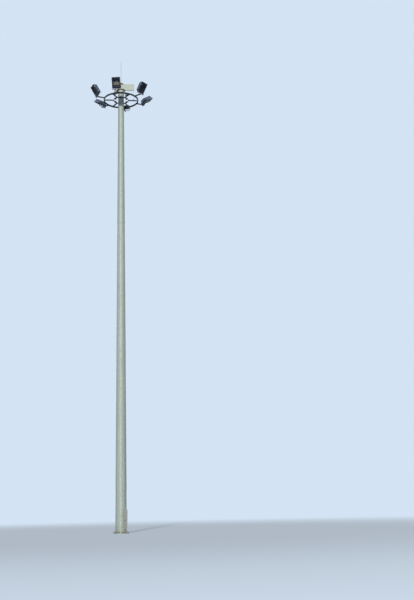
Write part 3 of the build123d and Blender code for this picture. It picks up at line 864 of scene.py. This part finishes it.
def bead_round(bm, level, reach, radius):
    """A weld bead along the shaft's sixteen sides at a level."""
    corners = [radial(bearing) * reach + up * level for bearing in corner_bearings]
    for k, corner in enumerate(corners):
        bar(bm, corners[k - 1], corner, radius, sides=8)


print("flats at the shaft's top", round(flat_reach(shaft_top, sections["upper"][2]), 4), "m from the axis")

# %% Weld beads
seam_ways = (radial(90.0), radial(-90.0))
gusset_bearings = [side_turn * (2 * k + 1) for k in range(8)]
gusset_face = 0.006
gusset_reach = 0.462
gusset_top = 0.205
gusset_seam_level = 0.200
weld_lift = 0.002
seam_radius = 0.0035
joint_inset = 0.003
fillet = {"radius": 0.005, "sides": 6}

bm = bmesh.new()
bead_round(bm, flange_top + weld_lift, corner_reach(flange_top), radius=0.011)
for low, high, step in sections.values():
    for out in seam_ways:
        seam_foot = out * flat_reach(low, step) + up * low
        bar(bm, seam_foot, out * flat_reach(high, step) + up * high, seam_radius, sides=6)
for low, high, step in list(sections.values())[1:]:
    bead_round(bm, low + weld_lift, corner_reach(low, step) - joint_inset, radius=0.005)
for out, across in around(gusset_bearings):
    for side in (-gusset_face, gusset_face):
        beside = across * side
        corner = out * (flat_reach(flange_top) + weld_lift) + up * flange_top + beside
        upper = out * (flat_reach(gusset_seam_level) + weld_lift) + up * gusset_top + beside
        bar(bm, corner, out * gusset_reach + up * flange_top + beside, **fillet)
        bar(bm, corner, upper, **fillet)
finished("shaft_welds", bm, weld_zinc, "mast", sharp=60.0)

# %% [markdown]
# ## Earth boss
#
# A steel mast is joined to an earth cable by a bolt on a short stainless boss, welded on above the flange.
# It is a bar and a bolt, and takes its reach from the taper, so that it sits on a flat whatever the mast's
# width.

# %% Earth boss and its bolt
boss_bearing = 135.0
boss_level = 0.32
boss_length = 0.03

bm = bmesh.new()
out = radial(boss_bearing)
boss = out * flat_reach(boss_level) + up * boss_level
bar(bm, boss, boss + out * boss_length, radius=0.022, sides=24)
bolt(bm, boss + out * boss_length, out, size=0.016, proud=0.5)
finished("earth_boss", bm, stainless, "mast")

# %% [markdown]
# ## The door
#
# The door hangs on two hinges and closes on a rubber seal in the gap round it. The seal has the shape of a
# running track. It could be swept along a curve, but a plain hoop is quicker: its upper half is moved up
# and its lower half down, which stretches only the faces between them.

# %% Door seal
door_middle = 0.900
frame_face = -0.3746
door_face = frame_face - 0.004
door_way = Vector((0, -1, 0))
seal_depth = 0.003
seal_radius = 0.1575
seal_straight = 0.450
cut_lift = 1e-4

bm = bmesh.new()
centre = Vector((0, frame_face + seal_depth, door_middle))
flat_on = facing(centre, door_way, Vector((1, 0, 0)))
hoop(bm, flat_on, seal_radius, thickness=0.0023, steps=64, sides=6)
whole = bm.verts[:] + bm.edges[:] + bm.faces[:]
bmesh.ops.bisect_plane(bm, geom=whole, plane_co=centre + up * cut_lift, plane_no=up, dist=1e-6)
for vertex in bm.verts:
    vertex.co.z += seal_straight if vertex.co.z > door_middle + cut_lift / 2 else -seal_straight
finished("door_seal", bm, gasket_rubber, "mast")

# %% [markdown]
# ## Screws and pull of the door
#
# What a hand would use on the door is stainless: screws in the hinge leaves, a raised ring round the key
# lock, two five-sided security bolts, and a bow to pull it open. Slots and threads would be finer than a
# millimetre, so short bars on the door's face do for all of them.

# %% Hinge screws and security bolts
hinge_levels = (0.51, 1.29)
hinge_screw_sides = (0.108, 0.140)
hinge_screw_lift = 0.013
hinge_screw_height = 0.0022
leaf_thickness = 0.010
key_level = 0.800
security_levels = (0.42, 1.38)
security_bolt = ((0.000, 0.004, 0.020, 24, 0.018), (0.004, 0.013, 0.0115, 5, 0.0105))

bm = bmesh.new()
for level in hinge_levels:
    for x in hinge_screw_sides:
        for lift in (-hinge_screw_lift, hinge_screw_lift):
            head = Vector((x, frame_face - leaf_thickness, level + lift))
            tip = head + door_way * hinge_screw_height
            bar(bm, head, tip, radius=0.0062, sides=16, tip_radius=0.0042)
key_ring = facing(Vector((0, door_face, key_level)), door_way)
hoop(bm, key_ring, radius=0.0315, thickness=0.0040, steps=40, sides=8)
for level in security_levels:
    lathe(bm, Vector((0, door_face, level)), door_way, security_bolt)
finished("door_screws", bm, stainless, "door")

# %% Door pull
pull_x = -0.105
pull_levels = (0.72, 0.88)
pull_depth = 0.034
pull_overhang = 0.0045
pull_leg = ((0, 0.004, 0.013, 20, 0.013), (0, pull_depth, 0.0055, 12, 0.0055))

bm = bmesh.new()
for level in pull_levels:
    lathe(bm, Vector((pull_x, door_face, level)), door_way, pull_leg)
grip_foot = Vector((pull_x, door_face - pull_depth, pull_levels[0] - pull_overhang))
grip_top = Vector((pull_x, door_face - pull_depth, pull_levels[1] + pull_overhang))
bar(bm, grip_foot, grip_top, radius=0.0062, sides=14)
finished("door_pull", bm, stainless, "door")

# %% [markdown]
# ## Behind the door
#
# The winch's drum holds the hoist rope in neat turns. They could be separate rings, but a real rope climbs
# along the drum. So one octagon is screwed along it: spin turns it about the drum's axle and moves it
# sideways by one rope's width each time round.

# %% Rope on the drum
drum_y = 0.075
winch_level = 0.950
rope_radius = 0.005
rope_half_pitch = 1.03 * rope_radius
drum_rope_radius = 0.98 * rope_radius
turn_radius = 0.075
turns = 16
steps_round = 20
axle_way = Vector((1, 0, 0))

bm = bmesh.new()
start = Vector((-turns * rope_half_pitch, drum_y - turn_radius, winch_level))
bmesh.ops.spin(
    bm,
    geom=section(bm, 8, drum_rope_radius, Matrix.Translation(start)),
    cent=Vector((0, drum_y, winch_level)),
    axis=axle_way,
    dvec=axle_way * (2 * rope_half_pitch / steps_round),
    angle=2 * pi * turns,
    steps=turns * steps_round,
)
bmesh.ops.holes_fill(bm, edges=bm.edges, sides=8)
finished("drum_rope", bm, rope_wire, "mast", sharp=60.0)

# %% [markdown]
# ## Gear case and crank
#
# A worm gear in a round case turns the drum, and a crank goes on its square stub through the open door. The
# case is measured from the middle of its seat, and not from the mast's axis, so that one vector moves the
# whole of it.

# %% Gear case
case = Vector((0.1165, drum_y, winch_level))
case_width = 0.040
case_parts = ((0, case_width, 0.100, 40, 0.100), (case_width, 0.052, 0.088, 40, 0.078))
case_bolt_circle = 0.093
case_bolts = 8
socket_shift = axle_way * 0.026
block_reach = 0.105

bm = bmesh.new()
lathe(bm, case, axle_way, case_parts)
worm_block = facing(case + socket_shift + door_way * block_reach, door_way)
plate(bm, worm_block, (0.060, 0.060, 0.060), edge=0.004, segments=2)
for k in range(case_bolts):
    angle = radians(360.0 / case_bolts * (k + 0.5))
    at = case + Vector((case_width, case_bolt_circle * cos(angle), case_bolt_circle * sin(angle)))
    bolt(bm, at, axle_way, size=0.009, proud=0.3)
finished("gear_case", bm, winch_paint, "mast")

# %% Crank socket and the winch's bolts
crank_parts = ((0, 0.022, 0.017, 24, 0.017), (0.022, 0.046, 0.0125, 4, 0.0125))
crank_reach = 0.135
winch_side = 0.116
winch_bolt_lift = 0.17
winch_bolt_depths = (0.12, 0.20)

bm = bmesh.new()
lathe(bm, case + socket_shift + door_way * crank_reach, door_way, crank_parts)
for side in (-1, 1):
    for lift in (-winch_bolt_lift, winch_bolt_lift):
        for y in winch_bolt_depths:
            at = Vector((side * winch_side, y, winch_level + lift))
            bolt(bm, at, axle_way * side, size=0.012, proud=0.4)
finished("winch_hardware", bm, stainless, "mast")

# %% [markdown]
# ## Rope ends at the compensator
#
# Three ropes come down inside the mast and end on a disc, and a single rope goes on from there to the
# winch. Each end is a tapered socket with a nut at its root. Two rows of a table make one, and a loop over
# the ropes' own bearings is surer than three copies.

# %% Rope sockets
disc_top = 1.962
disc_thickness = 0.024
inner_rope_reach = 0.050
upper_socket = ((0, 0.055, 0.0105, 16, 0.0085), (0, 0.010, 0.017, 6, 0.017))
lower_socket = ((0, 0.070, 0.013, 16, 0.009), (0, 0.012, 0.022, 6, 0.022))

bm = bmesh.new()
for bearing in arm_bearings:
    lathe(bm, radial(bearing) * inner_rope_reach + up * disc_top, up, upper_socket)
lathe(bm, up * (disc_top - disc_thickness), -up, lower_socket)
finished("rope_sockets", bm, bolt_zinc, "mast")

# %% [markdown]
# ## The pulley head
#
# Three arms carry the pulleys, each between two plates. Spacer bolts hold the plates apart, nuts close the
# axles, and a fillet weld joins each plate to the head's deck. All of it repeats three times about the
# mast, so it is written once, in an arm's own directions.

# %% Bolts of the head
deck_top = 29.5863
cheek_face = 0.030
sheave_level = 29.7653
axle_reaches = (0.215, 0.680)
axle_washer = 0.003
spacers = ((0.447, 0.080), (0.447, 0.400), (0.660, 0.430), (0.876, 0.235))
spacer_half = 0.022

bm = bmesh.new()
for out, across in around(arm_bearings):
    for way in (-across, across):
        for reach in axle_reaches:
            at = out * reach + up * sheave_level + way * cheek_face
            bar(bm, at, at + way * axle_washer, radius=0.030, sides=28)
            bolt(bm, at + way * axle_washer, way, size=0.026, proud=0.3)
        for reach, lift in spacers:
            at = out * reach + up * (deck_top + lift) + way * cheek_face
            bolt(bm, at, way, size=0.014, proud=0.5)
    for reach, lift in spacers:
        at = out * reach + up * (deck_top + lift)
        bar(bm, at - across * spacer_half, at + across * spacer_half, radius=0.010, sides=16)
finished("head_bolts", bm, bolt_zinc, "mast")

# %% Welds of the head
weld_from = 0.030
weld_to = 0.295
socket_foot = 29.190
socket_step = 0.0302
top_step = 0.0306

bm = bmesh.new()
for out, across in around(arm_bearings):
    for side in (-cheek_face, cheek_face):
        face = across * side
        near = out * weld_from + up * deck_top + face
        bar(bm, near, out * weld_to + up * deck_top + face, radius=0.006, sides=8)
bead_round(bm, shaft_top, corner_reach(shaft_top, top_step), radius=0.007)
bead_round(bm, socket_foot, corner_reach(socket_foot, socket_step), radius=0.004)
finished("head_welds", bm, weld_zinc, "mast", sharp=60.0)

# %% [markdown]
# ## Rod fittings
#
# The cap is bolted down, and the lightning rod stands on it in a flanged socket with three fins and a lock
# nut. Two couplings join its lengths, and its tip is pointed. The round parts could be a bar each, but as
# rows of one table, from the cap upwards, their heights and radii are easier to change.

# %% Cap bolts and the rod's fittings
cap_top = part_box("head_cap")[1].z
rod_top = cad_high.z
round_parts = (
    (0.000, 0.010, 0.052, 32, 0.052),
    (0.010, 0.085, 0.022, 24, 0.018),
    (0.085, 0.100, 0.026, 6, 0.026),
    (0.550, 0.580, 0.0155, 18, 0.0155),
    (1.100, 1.130, 0.0155, 18, 0.0155),
)
cap_bolt_bearings = (20, 80, 140, 200, 260, 320)
cap_bolt_circle = 0.140
fin_reach = 0.030
fin_lift = 0.032
tip_length = 0.035

bm = bmesh.new()
for bearing in cap_bolt_bearings:
    bolt(bm, radial(bearing) * cap_bolt_circle + up * cap_top, up, size=0.012, proud=0.4)
lathe(bm, up * cap_top, up, round_parts)
for out, across in around((0, 120, 240)):
    fin = facing(out * fin_reach + up * (cap_top + fin_lift), across, out)
    plate(bm, fin, (0.030, 0.044, 0.005))
bar(bm, up * rod_top, up * (rod_top + tip_length), radius=0.012, sides=16, tip_radius=0.0015)
finished("rod_fittings", bm, rod_metal, "mast")

# %% [markdown]
# ## The carriage
#
# The outer ring is a rolled channel and the inner one a flat bar, and six spokes join them. Every joint is
# a bolted plate, as the carriage is put together round a mast that already stands. One function makes a
# plate with its bolts, which would be three near copies of the same loop without it.

# %% Plates outside the ring
ring_level = 28.850
ring_web = 1.185
joint_bearings = (20.0, 140.0, 260.0)
pad_drop = 0.018
pad_offset = 0.0045
joint_offset = 0.0030
pad_bolts = [(side, lift) for side in (-0.060, 0.060) for lift in (-0.025, 0.025)]
joint_bolts = [(side, 0.0) for side in (-0.120, -0.050, 0.050, 0.120)]
pad_look = {"size": (0.160, 0.086, 0.008), "edge": 0.0015, "seat": 0.004, "stud": 0.014, "proud": 0.6}
joint_look = {"size": (0.300, 0.070, 0.006), "edge": 0.0015, "seat": 0.001, "stud": 0.014, "proud": 0.6}

plates = bmesh.new()
hardware = bmesh.new()


def bolted(centre, way, along, size, edge, seat, spots, stud, proud):
    """A plate that faces one way, and bolts at spots along it and upwards."""
    plate(plates, facing(centre, way, along), size, edge)
    for step, lift in spots:
        bolt(hardware, centre + way * seat + along * step + up * lift, way, stud, proud)


for out, across in around(flood_bearings):
    centre = out * (ring_web + pad_offset) + up * (ring_level - pad_drop)
    bolted(centre, out, across, spots=pad_bolts, **pad_look)
for out, across in around(joint_bearings):
    centre = out * (ring_web + joint_offset) + up * ring_level
    bolted(centre, out, across, spots=joint_bolts, **joint_look)
print("plates on the ring:", len(flood_bearings) + len(joint_bearings))

# %% Straps on the spokes and bolts of the rollers
inner_joint = (0.549, [(0.012, -0.015), (0.012, 0.015)])
outer_joint = (1.140, [(-0.012, -0.015), (-0.012, 0.015)])
strap_side = 0.028
strap_look = {"size": (0.076, 0.058, 0.006), "edge": 0.0012, "seat": 0.003, "stud": 0.010, "proud": 0.5}
roller_reach = 0.4174
roller_half_width = 0.048
roller_bearings = [bearing + 30.0 for bearing in spoke_bearings]

for out, across in around(spoke_bearings):
    for way in (-across, across):
        for reach, spots in (inner_joint, outer_joint):
            centre = out * reach + way * strap_side + up * ring_level
            bolted(centre, way, out, spots=spots, **strap_look)
for out, across in around(roller_bearings):
    for way in (-across, across):
        at = out * roller_reach + up * ring_level + way * roller_half_width
        bolt(hardware, at, way, size=0.014, proud=0.3)
finished("ring_plates", plates, shaded_carriage_zinc, "carriage")
finished("carriage_bolts", hardware, bolt_zinc, "carriage")

# %% [markdown]
# ## Suspension ropes
#
# Three short ropes hang from the head's outer pulleys and hold the carriage. They are the ropes that
# everyone sees, so each of the six strands is a real tube: a small hexagon that spins about the rope's
# middle while it climbs. The mesh rides on no body.

# %% Ropes, strand by strand
rope_reach = 0.845
rope_foot = 28.930
rope_top = sheave_level
lay_length = 0.085
strands = 6
strand_shift = 0.66 * rope_radius
strand_radius = 0.35 * rope_radius
core_radius = 0.5 * rope_radius
climb = rope_top - rope_foot
steps_each_turn = 10
climb_steps = round(climb / lay_length * steps_each_turn)

bm = bmesh.new()
for bearing in arm_bearings:
    middle = radial(bearing) * rope_reach + up * rope_foot
    for k in range(strands):
        turned = Matrix.Translation(middle) @ Matrix.Rotation(2 * pi / strands * k, 4, "Z")
        bmesh.ops.spin(
            bm,
            geom=section(bm, 6, strand_radius, turned @ Matrix.Translation((strand_shift, 0, 0))),
            cent=middle,
            axis=up,
            dvec=up * (climb / climb_steps),
            angle=2 * pi * climb / lay_length,
            steps=climb_steps,
        )
    bar(bm, middle, middle + up * climb, core_radius, sides=6)
bmesh.ops.holes_fill(bm, edges=bm.edges, sides=6)
ropes = finished("hanging_ropes", bm, rope_wire, None, sharp=70.0)
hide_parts("suspension_ropes")
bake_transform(ropes)

# %% [markdown]
# ## Rope ends on the carriage
#
# Each rope ends in a socket on the ring, and three clips hold its tail. A clip is a small saddle with the
# two legs of a U bolt through it. The bow between the legs is too small to tell from the rope, so it is
# left out.

# %% Rope ends on the carriage
clip_lifts = (0.100, 0.135, 0.170)
leg_gap = 0.004
leg_back = 0.020
leg_front = 0.022
ring_socket = ((-0.004, 0.006, 0.024, 6, 0.024), (0.006, 0.075, 0.0105, 16, 0.0085))

bm = bmesh.new()
for out, across in around(arm_bearings):
    foot = out * rope_reach + up * rope_foot
    lathe(bm, foot, up, ring_socket)
    for lift in clip_lifts:
        clip = foot + up * lift
        plate(bm, facing(clip, up, out), (0.026, 0.020, 0.009), edge=0.002)
        for leg in (clip - across * leg_gap, clip + across * leg_gap):
            bar(bm, leg - out * leg_back, leg + out * leg_front, radius=0.003, sides=8)
finished("rope_clips", bm, bolt_zinc, "carriage")

# %% [markdown]
# ## Junction box
#
# The box on the ring shares the supply out to the floodlights. It has a lid with four screws and three
# glands on each side. The lid is a piece of its own, because it is plastic, while screws and glands are
# bright metal.

# %% Lid, screws and glands
junction_bearing = -10.0
box_out = radial(junction_bearing)
box_side = tangent(junction_bearing)
junction_reach = 0.8442
junction = box_out * junction_reach
box_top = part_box("junction_box")[1].z
lid_size = (0.268, 0.228, 0.008)
lid_middle = 0.003
lid_face = 0.007
lid_screw_height = 0.003
lid_screw_spots = [(along, aside) for along in (-0.115, 0.115) for aside in (-0.095, 0.095)]
gland_row = 0.110
gland_pitch = 0.075
gland_drop = 0.075
box_gland = ((0, 0.012, 0.016, 6, 0.016), (0.012, 0.030, 0.012, 14, 0.009))

lid = bmesh.new()
level_lid = facing(junction + up * (box_top + lid_middle), up, box_out)
plate(lid, level_lid, lid_size, edge=0.003, segments=2)
finished("junction_lid", lid, box_plastic, "carriage")

bm = bmesh.new()
for along, aside in lid_screw_spots:
    at = junction + box_out * along + box_side * aside + up * (box_top + lid_face)
    bar(bm, at, at + up * lid_screw_height, radius=0.007, sides=14, tip_radius=0.006)
for way in (-box_side, box_side):
    for k in (-1, 0, 1):
        at = junction + way * gland_row + box_out * gland_pitch * k + up * (box_top - gland_drop)
        lathe(bm, at, way, box_gland)
finished("box_glands", bm, stainless, "carriage")

# %% [markdown]
# ## The floodlights
#
# Each floodlight is the same casting: a finned shell, a framed glass over the lamp chamber, and a plain
# cover over the gear below it. The pieces are made in the floodlight's own axes, with X along its pivot, Y
# up its face and Z out through the glass, and one placement then carries them to each of the six bearings.
# They ride on the floodlight, so they tilt with it.

# %% Window frame and gear cover of one floodlight
half_width = 0.285
front = 0.135
window_rise = 0.055
window_side = 0.246
window_top = 0.251
frame_bar = 0.034
frame_thickness = 0.007
cover_level = -0.288
cover_thickness = 0.004
cover_size = (0.510, 0.134, cover_thickness)
rib_pitch = 0.038
rib_lift = 0.0015
rib_size = (0.400, 0.010, 0.005)


def block(bm, place, point, size, edge):
    """A bevelled block in the floodlight's own axes."""
    plate(bm, place @ Matrix.Translation(point), size, edge, 2)


def window_trim(bm, place):
    """The clamped frame round the glass, and the gear cover with its pressed ribs."""
    depth = front + frame_thickness / 2
    upright_size = (frame_bar, 2 * window_top + frame_bar, frame_thickness)
    level_size = (2 * window_side - frame_bar, frame_bar, frame_thickness)
    for side in (-1, 1):
        block(bm, place, (side * window_side, window_rise, depth), upright_size, edge=0.002)
        block(bm, place, (0, window_rise + side * window_top, depth), level_size, edge=0.002)
    block(bm, place, (0, cover_level, front + cover_thickness / 2), cover_size, edge=0.0015)
    for rise in (-rib_pitch, 0, rib_pitch):
        rib_depth = front + cover_thickness + rib_lift
        block(bm, place, (0, cover_level + rise, rib_depth), rib_size, edge=0.0018)


# %% [markdown]
# ## Fittings of one floodlight
#
# The frame has screws and a latch on each side, pivot bolts join the shell to its yoke, a cable gland sits
# below and a lifting eye above. Inside, a long arc tube lies between two ceramic holders on posts. All of
# it is given in the floodlight's own axes too: a step along the pivot, a rise and a depth.

# %% Screws, latches and pivot bolts of one floodlight
pivot_side = 0.305
screw_seats = [(window_side, window_rise + rise, front + frame_thickness) for rise in (-0.19, 0.0, 0.19)]
screw_seats += [(0.236, cover_level + rise, front + cover_thickness) for rise in (-0.045, 0.045)]
screw_height = 0.004
latch_proud = 0.002
latch_rise = 0.150
latch_back = 0.020
latch_size = (0.004, 0.060, 0.034)


def screws(bm, place):
    """The screws of frame and cover, the latches and the pivot bolts."""
    turn = place.to_3x3()
    head = turn @ Vector((0, 0, screw_height))
    for side in (-1, 1):
        for reach, rise, depth in screw_seats:
            at = place @ Vector((side * reach, rise, depth))
            bar(bm, at, at + head, radius=0.008, sides=14, tip_radius=0.0065)
        latch = (side * (half_width + latch_proud), window_rise + latch_rise, front - latch_back)
        block(bm, place, latch, latch_size, edge=0.0012)
        pivot = place @ Vector((side * pivot_side, -pivot_drop, 0))
        bolt(bm, pivot, turn @ Vector((side, 0, 0)), size=0.022, proud=0.35)


# %% Lamp, gland and eye of one floodlight
lamp_depth = 0.045
tube_half = 0.105
holder_from = 0.104
holder_to = 0.150
post_front = 0.138
post_back = 0.110
post_depth = -0.030
gland = Vector((0.080, -0.331, 0.0))
gland_way = Vector((0, -0.940, -0.342))
gland_parts = ((0, 0.022, 0.018, 6, 0.018), (0.022, 0.045, 0.014, 18, 0.010))
eye = Vector((0, 0.380, 0.1125))


def lamp_parts(glass_bm, holder_bm, place):
    """A long arc tube between two ceramic holders, in front of the reflector's floor."""

    def spot(reach, depth=lamp_depth):
        return place @ Vector((reach, window_rise, depth))

    bar(glass_bm, spot(-tube_half), spot(tube_half), radius=0.0125, sides=20)
    for side in (-1, 1):
        near, far = spot(side * holder_from), spot(side * holder_to)
        bar(holder_bm, near, far, radius=0.0165, sides=20, tip_radius=0.014)
        bar(holder_bm, spot(side * post_front), spot(side * post_back, post_depth), radius=0.009, sides=12)


def back_fittings(bm, place):
    """Cable gland under the gear chamber and lifting eye on the front frame."""
    turn = place.to_3x3()
    lathe(bm, place @ gland, turn @ gland_way, gland_parts)
    stood = facing(place @ eye, turn @ Vector((1, 0, 0)))
    hoop(bm, stood, radius=0.014, thickness=0.004, steps=20, sides=8)


# %% Dress the six floodlights
for number, place in flood_places.items():
    body = f"flood_{number}"
    trim, small, tube, holders = (bmesh.new() for _ in range(4))
    window_trim(trim, place)
    screws(small, place)
    back_fittings(small, place)
    lamp_parts(tube, holders, place)
    finished(f"window_frame_{number}", trim, frame_paint, body)
    finished(f"flood_fittings_{number}", small, stainless, body)
    finished(f"lamp_tube_{number}", tube, lamp_glass, body)
    finished(f"lamp_holders_{number}", holders, lamp_ceramic, body)

# %% [markdown]
# ## Yoke bolts
#
# Each yoke stands on its lamp arm with two bolts, and a thin plate closes the arm's end. They ride on the
# carriage and not on the floodlight, because the yoke doesn't tilt.

# %% Yoke bolts
flood_reach = 1.700
seat_lift = 0.012
yoke_bolt_side = 0.022
cap_shift = 0.0315
cap_drop = 0.030

bm = bmesh.new()
for out, across in around(flood_bearings):
    foot = out * flood_reach + up * (ring_level + seat_lift)
    for side in (-yoke_bolt_side, yoke_bolt_side):
        bolt(bm, foot + across * side, up, size=0.014, proud=0.6)
    end_cap = out * (flood_reach + cap_shift) + up * (ring_level - cap_drop)
    plate(bm, facing(end_cap, out, across), (0.066, 0.056, 0.003))
finished("yoke_bolts", bm, bolt_zinc, "carriage")
